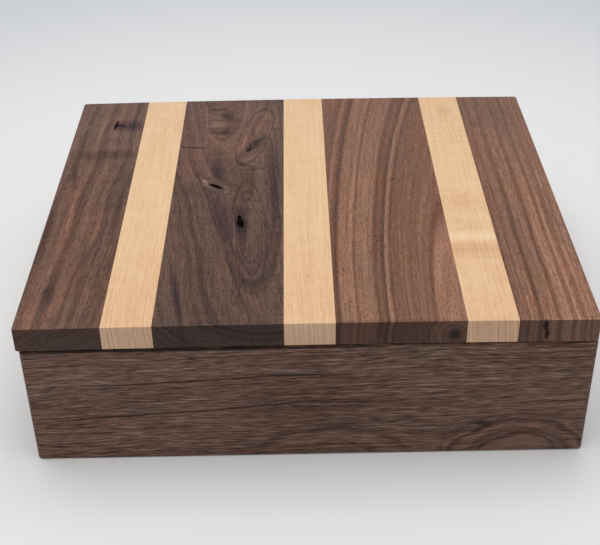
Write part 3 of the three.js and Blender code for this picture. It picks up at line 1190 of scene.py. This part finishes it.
@dataclass
class Lid:
    """Seven staves glued edge to edge, a little crowned. Lengths are in millimetres."""

    thickness: float = 14.1
    crown: float = 0.9
    underside: float = 76.8
    corner: float = 1.5
    arris: float = 0.5
    corner_steps: int = 6
    arris_steps: int = 3
    half_width: float = 152.5
    glue: float = 0.05
    hole_steps: int = 4  # how finely a hole's cutter is divided
    hole_rough: float = 0.3  # how far its surface strays, as a share of its half size
    hole_outward: float = 0.5  # the part of that which goes straight outwards
    hole_smooth: float = 0.5
    hole_rounds: int = 3  # of smoothing
    first_seed: int = 3  # of the holes' edges
    staves: tuple[str, ...] = (
        "lid_stave_left",
        "lid_stripe_left",
        "lid_stave_inner_left",
        "lid_stripe_middle",
        "lid_stave_inner_right",
        "lid_stripe_right",
        "lid_stave_right",
    )

    def raised(self, x: float) -> float:
        """Return how far the crown lifts the lid at this place across it."""
        return self.crown * (1 - (x / self.half_width) ** 2)

    def stave(self, node: str) -> Piece:
        """Model one stave: a block that follows the crown, its outer edges rounded.

        Args:
            node: the CAD node that it stands for.

        Returns:
            The stave.
        """
        low, high = corners(node)
        leftmost, rightmost = node == self.staves[0], node == self.staves[-1]
        left = low.x - (0 if leftmost else self.glue)
        right = high.x + (0 if rightmost else self.glue)
        top = self.underside + self.thickness

        def open_side(normal: Vector) -> bool:
            """Tell whether an edge is clear of the stave's glued sides."""
            return abs(normal.x) < SIDEWAYS or (leftmost and normal.x < 0) or (rightmost and normal.x > 0)

        def outer_corner(middle: Vector, normal: Vector) -> bool:
            """Tell whether an edge stands at a corner of the lid."""
            return abs(normal.z) < UPRIGHT and open_side(normal)

        def outer_rim(middle: Vector, normal: Vector) -> bool:
            """Tell whether an edge runs round the lid, at the top or the bottom."""
            return RIM_LOW < abs(normal.z) < RIM_HIGH and open_side(normal)

        made = block(node.replace("lid_", "board_"), (left, low.y, self.underside), (right, high.y, top))
        with editing():
            for x in (left, right):
                pick(made, Element.CORNER, lambda middle, normal: abs(middle.x - x) < NEAR)
                bpy.ops.transform.translate(value=(0, 0, self.raised(x) * MM))
            if leftmost or rightmost:
                round_edges(made, self.corner, self.corner_steps, outer_corner)
            round_edges(made, self.arris, self.arris_steps, outer_rim)
        return made

    def hollow(self, at: Hollow, seed: int) -> Piece:
        """Make the cutter of a hole, a crack or a bark pocket.

        Args:
            at: its place and half sizes.
            seed: shapes its edge.

        Returns:
            The cutter.
        """
        bpy.ops.object.select_all(action="DESELECT")
        bpy.ops.mesh.primitive_ico_sphere_add(subdivisions=self.hole_steps, radius=1)
        made = bpy.context.object
        with editing():
            bpy.ops.mesh.select_all(action="SELECT")
            stray = {"offset": self.hole_rough, "uniform": 0, "normal": self.hole_outward}
            bpy.ops.transform.vertex_random(**stray, seed=seed)
            bpy.ops.mesh.vertices_smooth(factor=self.hole_smooth, repeat=self.hole_rounds)
        x, y, above = at.place
        top = self.underside + self.thickness + self.raised(x)
        made.scale = [half * MM for half in at.half]
        made.rotation_euler = [math.radians(angle) for angle in at.turn]
        made.location = (x * MM, (y + LID_FRONT) * MM, (above + top) * MM)
        bpy.ops.object.transform_apply(location=True, rotation=True, scale=True)
        return made

    def build(self, walnut: BlackWalnut, maple: HardMaple, hinges: Sequence[Hinge]) -> None:
        """Model the seven staves and dress each with its own figure.

        Args:
            walnut: the dark staves' wood.
            maple: the stripes' wood.
            hinges: what is let into the lid.
        """
        for node in self.staves:
            made = self.stave(node)
            low, high = corners(node)
            for hinge in hinges:
                for cutter in hinge.cutters(Half.LID, self.underside):
                    span = [corner[0] / MM for corner in cutter.bound_box]
                    if min(span) < high.x and max(span) > low.x:
                        cut(made, cutter)
                    else:
                        bpy.data.objects.remove(cutter)
            for seed, at in enumerate(HOLLOWS.get(node, ()), self.first_seed):
                cut(made, self.hollow(at, seed))
            finish_mesh(made)
            if "stripe" in node:
                settle(made, "lid", node, maple.dress("hard_maple_" + node, FIGURES[node]))
            else:
                settle(made, "lid", node, walnut.dress("black_walnut_" + node, FIGURES[node]))


LID_FRONT = corners("lid_stave_left")[0].y
LID_TOP = corners("lid_stripe_middle")[1].z
WALL_BACK = corners("back_wall")[1].y

HOLLOWS = {
    "lid_stave_left": (
        Hollow((-125.8, 230, 0), (0.8, 6.5, 2.5), (0, 0, -6)),
        Hollow((-122, 229.5, 0), (4, 0.7, 1.5), (0, 0, -8)),
    ),
    "lid_stave_inner_left": (
        Hollow((-54.0, 143.8, 0), (1.3, 4.9, 2.5), (0, 0, 52)),
        Hollow((-38.2, 106.6, 0), (1.3, 1.9, 4)),
        Hollow((-37.8, 103.8, 0), (1.1, 2.6, 5)),
        Hollow((-37.3, 99.8, 0), (2.1, 5.2, 7), (0, 0, 6)),
        Hollow((-34.6, 190.6, 0), (0.9, 2.4, 1.5), (0, 0, -25)),
    ),
    "lid_stave_right": (
        Hollow((123.6, 0, -3.8), (1.2, 1.7, 3.2), (0, 10, 0)),
        Hollow((124.6, 0, -9.4), (1.0, 1.5, 3.4), (0, 8, 0)),
    ),
}


def plain(tone: float) -> Rings:
    """Return rings of one tone."""
    return ((0, tone), (1, tone))


STAVE = Figure(Lay.LID, (0, LID_FRONT, LID_TOP))
STRIPE = replace(
    STAVE,
    rings=plain(0.62),
    ring_width=1.1,
    ring_share=0.055,
    end_share=0.12,
    fibre_share=0.075,
    dash_share=0.06,
    curl=0.03,
)
WALL = Figure(
    Lay.LONG_WALL,
    (0, 0, 0),
    bright=0.095,
    ring_width=2.4,
    ring_share=0.04,
    line_share=0.08,
    line_every=3,
    fibre_share=0.19,
    fibre_width=0.85,
    dash_share=0.19,
    pore_share=0.42,
    pore_width=0.62,
    pore_length=13,
    wander=2.5,
    waves=0.12,
    warmth=0.39,
    warmth_range=0.08,
    hue_share=0.7,
)

FIGURES = {
    "lid_stave_left": replace(
        STAVE,
        pith=-90,
        depth=90,
        lean=0.05,
        rings=plain(0.48),
        bright=0.08,
        ring_width=2.6,
        ring_share=0.1,
        end_share=-0.02,
        line_share=0.1,
        line_every=3,
        fibre_share=0.09,
        dash_share=0.085,
        curl=0.03,
        wander=4,
        warmth=0.42,
        seed=1.3,
        marks=(
            Mark(-128, 225, 40, 55, 0, 0.03, -0.2),
            Mark(-116, 229, 12, 9, 0, -0.32, -0.05),
            Mark(-124, 230, 3, 8, -6, -0.2, -0.4),
            # Painted shade: the inside of the crack, darker than its shallow hollow is shaded.
            Mark(-125.8, 230, 1, 6.5, 6, -0.5, 0, 0.5),
            Mark(-128, 188, 24, 7, 0, -0.2, -0.05, 0.2),
            Mark(-112, 160, 7, 24, 0, -0.1, -0.2),
            Mark(-144, 163, 2.2, 15, -4, -0.24, -0.2),
            Mark(-139, 105, 3.6, 50, -2, 0.12, 0.6),
            Mark(-131, 32, 2.4, 32, 11, 0.22, 0.8),
            Mark(-122, 100, 3.5, 24, 0, 0.1, 0.5),
            Mark(-112, 117, 3, 22, 0, -0.16),
            Mark(-138.4, 31, 5, 14, 0, -0.24, -0.3),
            Mark(-150, 85, 2.4, 30, 0, -0.16),
            Mark(-127, 50, 1.8, 45, 12, -0.2),
            Mark(-147, 14, 4, 22, 0, 0.16, 0.8),
        ),
    ),
    "lid_stave_inner_left": replace(
        STAVE,
        pith=-22,
        depth=-40,
        lean=-0.125,
        dive=0.07,
        rings=(
            (0, 0.4), (30, 0.4), (33, 0.44), (34.8, 0.36), (35.4, 0.46), (36.3, 0.33), (36.9, 0.46),
            (37.7, 0.36), (38.4, 0.45), (39.8, 0.32), (40.8, 0.45), (44, 0.42), (46, 0.3), (47.5, 0.44),
            (52, 0.36), (54, 0.46), (100, 0.4),
        ),
        bright=0.03,
        ring_width=3.2,
        ring_share=0.07,
        end_share=0.07,
        line_share=0.11,
        dash_share=0.07,
        curl=0.03,
        wander=5,
        warmth=0.3,
        seed=4.1,
        knots=(
            Knot(
                -31, 210, 10, 44, 10,
                lift=8,
                part=0.3,
                rings=(
                    (0, 0.5), (0.5, 0.5), (0.6, 0.6), (0.66, 0.36), (0.72, 0.56), (0.84, 0.58),
                    (0.92, 0.4), (0.97, 0.32), (1.02, 0.54), (1.12, 0.56), (1.2, 0.5),
                ),
            ),
            Knot(
                -54, 143.5, 6, 15, -42,
                lift=6,
                part=0.5,
                rings=(
                    (0, 0.4), (0.35, 0.5), (0.55, 0.58), (0.8, 0.62), (0.94, 0.38), (1.05, 0.54), (1.2, 0.5),
                ),
            ),
            Knot(-37, 98, 6, 30, -4, lift=-3, part=0.7),
            Knot(
                -32, 92, 9, 52, -3,
                rings=(
                    (0, 0.5), (0.5, 0.5), (0.6, 0.56), (0.66, 0.4), (0.72, 0.54), (0.8, 0.52),
                    (0.86, 0.36), (0.92, 0.56), (1.02, 0.51), (1.1, 0.38), (1.2, 0.5),
                ),
            ),
            Knot(-57, 226, 9, 24, 0, lift=-4, part=0.2, calm=0.7),
        ),
        ripples=(Mark(-56, 226, 15, 34, 0, 0.18), Mark(-30, 163, 14, 8, 0, 0.08)),
        marks=(
            Mark(-48, 222, 36, 56, 0, 0.15, 0.4, 0.3),
            Mark(-48, 248, 40, 22, 0, 0.05),
            Mark(-47, 8, 60, 44, 0, -0.06),
            Mark(-31.5, 197, 3.6, 19, 26, -0.34, -0.6, 0.2),
            Mark(-27, 230, 3.4, 18, 8, 0.08, 0.5),
            Mark(-42, 190, 3, 24, 20, 0.1, 0.5),
            Mark(-50, 240, 5, 10, -10, -0.4, -0.5),
            Mark(-53, 216, 7, 3.4, 0, -0.36, -0.5),
            Mark(-57, 251, 9, 2.5, 0, -0.3, -0.3),
            Mark(-49, 206, 2, 2, 0, 0.16),
            Mark(-50, 194, 1.4, 3, 0, 0.16),
            Mark(-31, 164, 0.8, 12, 88, -0.24),
            Mark(-31, 160.5, 0.8, 11, 88, 0.2),
            Mark(-17, 155, 3, 60, 0, -0.16, -0.3),
            Mark(-53, 165, 4.5, 17, -6, -0.28, -0.4),
            Mark(-36.4, 95, 3.2, 22, -3, -0.34, -0.7, 0.3),
            # Painted shade: the inside of this knot hole, darker than its shallow hollow is shaded.
            Mark(-37.3, 100, 2.4, 6, -6, -0.5, 0, 0.6),
            Mark(-40.3, 79, 1.4, 5, 0, 0.24, 0.2),
            Mark(-47, 104, 8, 34, -8, -0.16, -0.5),
            # Painted shade: the inside of this knot hole, darker than its shallow hollow is shaded.
            Mark(-54, 143.8, 1.6, 5.4, -52, -0.5, 0, 0.5),
            Mark(-61.5, 151, 1.2, 6, -28, 0.3, 0.2),
            Mark(-47.5, 136, 1.4, 5, -52, 0.16, 0.2),
            Mark(-64.5, 152, 0.7, 6, -20, -0.24),
            Mark(-70, 29, 2.4, 36, -10, -0.3, -0.7),
            Mark(-39, 42, 1.3, 42, -14, -0.24, -0.3),
            Mark(-72, 170, 7, 30, 0, 0.1, 0.4),
            Mark(-71, 195, 0.9, 9.5, -83, -0.9),
        ),
    ),
    "lid_stave_inner_right": replace(
        STAVE,
        pith=76.36,
        depth=9.397,
        lean=0.02372,
        sweep=3.268e-4,
        dive=0.02632,
        plunge=1.987e-4,
        taper=7.698e-4,
        rings=(
            (0, 0.02), (1.6, 0.06), (3, 0.5), (8, 0.64), (12.4, 0.62), (13.5, 0.34), (14.6, 0.5),
            (20.5, 0.5), (21.5, 0.42), (23, 0.5), (29, 0.44), (31.9, 0.33), (32.9, 0.66), (34.1, 0.58),
            (35.2, 0.2), (37.2, 0.44), (39.5, 0.32), (41, 0.56), (45, 0.62), (49, 0.58), (50, 0.42),
            (51.4, 0.6), (58, 0.58), (60, 0.2), (62, 0.44), (64, 0.56), (66, 0.36), (70, 0.5), (90, 0.55),
        ),
        bright=0.24,
        ring_width=2.4,
        ring_share=0.05,
        end_share=0.02,
        line_share=0.06,
        line_every=1.2,
        dash_share=0.055,
        wander=0.6,
        warmth=0.62,
        seed=7.7,
        marks=(
            Mark(55.6, 149, 1.4, 2, 0, -0.3),
            Mark(76.7, 0, 3, 2, 0, -0.3, -0.3, 0.3, deep=-7.9, thick=3),
            Mark(45, 0, 44, 2, 0, -0.1, 0, 0.8),
            Mark(76, 50, 6, 52, 6, 0.03, 0.35, 0.3),
            Mark(58, 230, 40, 70, 0, 0, 0, 0.2, even=0.2),
        ),
    ),
    "lid_stave_right": replace(
        STAVE,
        pith=190,
        depth=7,
        rings=(
            (0, 0.55), (40, 0.56), (44, 0.62), (46.5, 0.44), (48, 0.52), (50, 0.64), (52.4, 0.44),
            (54, 0.62), (58, 0.58), (59.6, 0.26), (61, 0.54), (65, 0.52), (66.8, 0.56), (68.3, 0.2),
            (70, 0.5), (73, 0.56), (75, 0.4), (76.5, 0.52), (79.5, 0.4), (90, 0.5),
        ),
        bright=0.24,
        ring_width=2.2,
        ring_share=0.07,
        fibre_share=0.08,
        dash_share=0.07,
        wander=1.2,
        seed=2.9,
        marks=(
            Mark(128, 250, 30, 45, 0, -0.08, -0.2),
            Mark(130, 215, 60, 85, 0, 0.01, 0, 0.35, even=0.6),
            Mark(138, 225, 2, 60, 2, -0.08, -0.2),
            Mark(140, 30, 16, 60, 0, 0.08, 0.3),
            Mark(136, 0, 20, 2, 0, 0.12),
            Mark(117, 222, 4, 6, 0, -0.12),
            Mark(110.1, 57, 0.5, 2.2, 0, -0.5),
            Mark(110.2, 49, 0.7, 1.6, 0, -0.5),
            Mark(110.1, 43, 0.5, 2, 0, -0.4),
            Mark(110, 35, 0.4, 3, 0, -0.4),
            # The bark pocket's dark bark, with painted shade: darker than its shallow hollows are shaded.
            Mark(123.6, 0, 1.3, 1.8, 0, -0.7, 0, 0.6, deep=-3.8, thick=3.2),
            Mark(124.6, 0, 1.1, 1.8, 0, -0.7, 0, 0.6, deep=-9.4, thick=3.4),
        ),
    ),
    "lid_stripe_left": replace(
        STRIPE,
        pith=-400,
        depth=30,
        seed=5.2,
        marks=(Mark(-83, 12, 40, 70, 0, -0.12), Mark(-83, 228, 0.6, 2, 0, -0.4)),
    ),
    "lid_stripe_middle": replace(
        STRIPE,
        pith=-300,
        depth=20,
        seed=6.6,
        marks=(Mark(1, 12, 40, 70, 0, -0.12), Mark(1.4, 43, 0.5, 1.2, 0, -0.6)),
    ),
    "lid_stripe_right": replace(
        STRIPE,
        pith=-250,
        depth=40,
        rings=plain(0.6),
        ring_width=1.2,
        curl=0.05,
        wander=2,
        seed=8.4,
        marks=(
            Mark(96, 12, 40, 70, 0, -0.06),
            Mark(96, 0, 40, 1.5, 0, -0.13),
            Mark(96, 81, 40, 6, 0, 0.22),
            Mark(96, 68, 40, 9, 0, -0.2),
            Mark(96, 120, 40, 14, 0, -0.1),
            Mark(99, 244, 7, 8, 0, -0.2),
        ),
    ),
    "front_wall": replace(
        WALL,
        origin=(0, 0, -135),
        pith=-70,
        depth=30,
        lean=0.03,
        rings=plain(0.44),
        ring_width=2.6,
        line_share=0.06,
        seed=3.3,
        knots=(
            Knot(
                -4, 117, 28, 38,
                lift=-14,
                part=0.6,
                calm=0.7,
                rings=(
                    (0, 0.3), (0.12, 0.42), (0.2, 0.58), (0.42, 0.58), (0.55, 0.52), (0.62, 0.26),
                    (0.68, 0.5), (0.74, 0.34), (0.8, 0.52), (0.9, 0.57), (0.96, 0.3), (1, 0.22),
                    (1.04, 0.56), (1.14, 0.4), (1.25, 0.5),
                ),
            ),
            Knot(
                -4, 14, 25, 48,
                lift=-12,
                part=0.3,
                calm=0.3,
                rings=(
                    (0, 0.5), (0.4, 0.52), (0.47, 0.34), (0.55, 0.52), (0.8, 0.54), (0.94, 0.32), (1.02, 0.5),
                ),
            ),
        ),
        marks=(
            Mark(31, -96, 0.8, 50, 4.2, -0.5),
            Mark(36, -30, 0.8, 40, 5.6, -0.4),
            Mark(38, 30, 0.7, 38, -1, -0.3),
            Mark(54, -66, 0.7, 50, 3, -0.4),
            Mark(57.5, -2, 0.9, 34, 0, -0.4),
            Mark(21, 96.5, 2, 5, 0, -0.5, -0.2),
            Mark(20, -60, 16, 100, 0, 0.03),
            Mark(62, -90, 12, 60, 0, 0.07),
            Mark(38, 0, 30, 40, 0, -0.13),
            # Painted shade: a dark band high on the front wall, where the lid's overhang shades the case,
            # darkest to the left.
            Mark(75.7, -75, 0.8, 130, 0, -0.65, 0, 0.4, thick=0.8),
        ),
    ),
    "back_wall": replace(
        WALL,
        origin=(0, 0, WALL_BACK),
        pith=120,
        depth=30,
        rings=plain(0.46),
        seed=9.1,
        knots=(Knot(40, -60, 16, 50, lift=8, part=0.3),),
    ),
    "left_wall": replace(
        WALL,
        lay=Lay.SIDE_WALL,
        origin=(0, 0, 151),
        pith=-50,
        depth=20,
        rings=plain(0.44),
        seed=11.5,
        knots=(Knot(20, 30, 20, 60, lift=8, part=0.2),),
    ),
    "right_wall": replace(
        WALL,
        lay=Lay.SIDE_WALL,
        origin=(0, 0, -153),
        pith=100,
        depth=25,
        rings=plain(0.46),
        seed=13.9,
        knots=(Knot(50, -40, 18, 50, lift=8, part=0.2),),
    ),
}


@dataclass
class Studio:
    """The paper floor, the soft lights and the camera. Lengths are in metres."""

    floor_size: float = 8.0
    sky: str = "#f3f8ff"
    sky_strength: float = 0.55
    lamp_at: Triple = (-0.08, -0.02, 1.5)
    lamp_aim: Triple = (0, 0, 0.05)
    lamp_colour: str = "#fffaf3"
    lamp_size: float = 1.4
    lamp_power: float = 15.0
    camera_at: Triple = (-0.00449, -0.60501, 0.44227)
    camera_aim: Triple = (-0.00272, -0.01966, 0.045)
    camera_roll: float = -0.936  # in degrees
    lens: float = 68.298
    sensor: float = 36.0

    def floor(self, paper: bpy.types.Material) -> None:
        """Lay the paper under the box.

        Args:
            paper: its material.
        """
        bpy.ops.object.select_all(action="DESELECT")
        bpy.ops.mesh.primitive_plane_add(size=self.floor_size, location=(0, 0, 0))
        made = bpy.context.object
        made.name = "paper_floor"
        made.data.materials.append(paper)

    def world(self) -> None:
        """Light the room evenly."""
        room = bpy.data.worlds.new("room")
        bpy.context.scene.world = room
        room.use_nodes = True
        room.node_tree.nodes.clear()
        add = partial(add_node, room.node_tree)
        light = add("Background", {}, {"Color": linear(self.sky), "Strength": self.sky_strength})
        add("OutputWorld", {}, {"Surface": light})

    def place(self, name: str, data: bpy.types.ID, at: Triple, aim: Triple, roll: float = 0) -> Piece:
        """Put a lamp or a camera in the scene.

        Args:
            name: the object's name.
            data: the lamp or camera.
            at: where it stands.
            aim: where it looks.
            roll: how far it leans round its line of sight, in degrees.

        Returns:
            The object.
        """
        made = bpy.data.objects.new(name, data)
        bpy.context.scene.collection.objects.link(made)
        made.location = at
        made.rotation_mode = "QUATERNION"
        aimed = (Vector(aim) - Vector(at)).to_track_quat("-Z", "Y")
        made.rotation_quaternion = aimed @ Quaternion((0, 0, 1), math.radians(roll))
        return made

    def build(self, paper: bpy.types.Material) -> None:
        """Set up the whole studio.

        Args:
            paper: the floor's material.
        """
        self.floor(paper)
        self.world()
        lamp = bpy.data.lights.new("soft_box", "AREA")
        lamp.energy = self.lamp_power
        lamp.size = self.lamp_size
        lamp.color = linear(self.lamp_colour)[:3]
        self.place("soft_box", lamp, self.lamp_at, self.lamp_aim)
        camera = bpy.data.cameras.new("camera")
        camera.lens = self.lens
        camera.sensor_width = self.sensor
        made = self.place("camera", camera, self.camera_at, self.camera_aim, self.camera_roll)
        bpy.context.scene.camera = made
        bpy.context.scene.view_settings.view_transform = "Standard"


def main() -> None:
    """Build the box and its studio."""
    logging.basicConfig(level=logging.INFO, format="%(message)s")
    walnut = BlackWalnut()
    hinges = [Hinge(side) for side in Side]
    Case().build(walnut, BirchPlywood(), hinges)
    Lid().build(walnut, HardMaple(), hinges)
    brass = SatinBrass().dress("satin_brass")
    for hinge in hinges:
        hinge.build(brass)
    Studio().build(BackdropPaper().dress("matt_white_paper"))


if __name__ == "__main__":
    main()
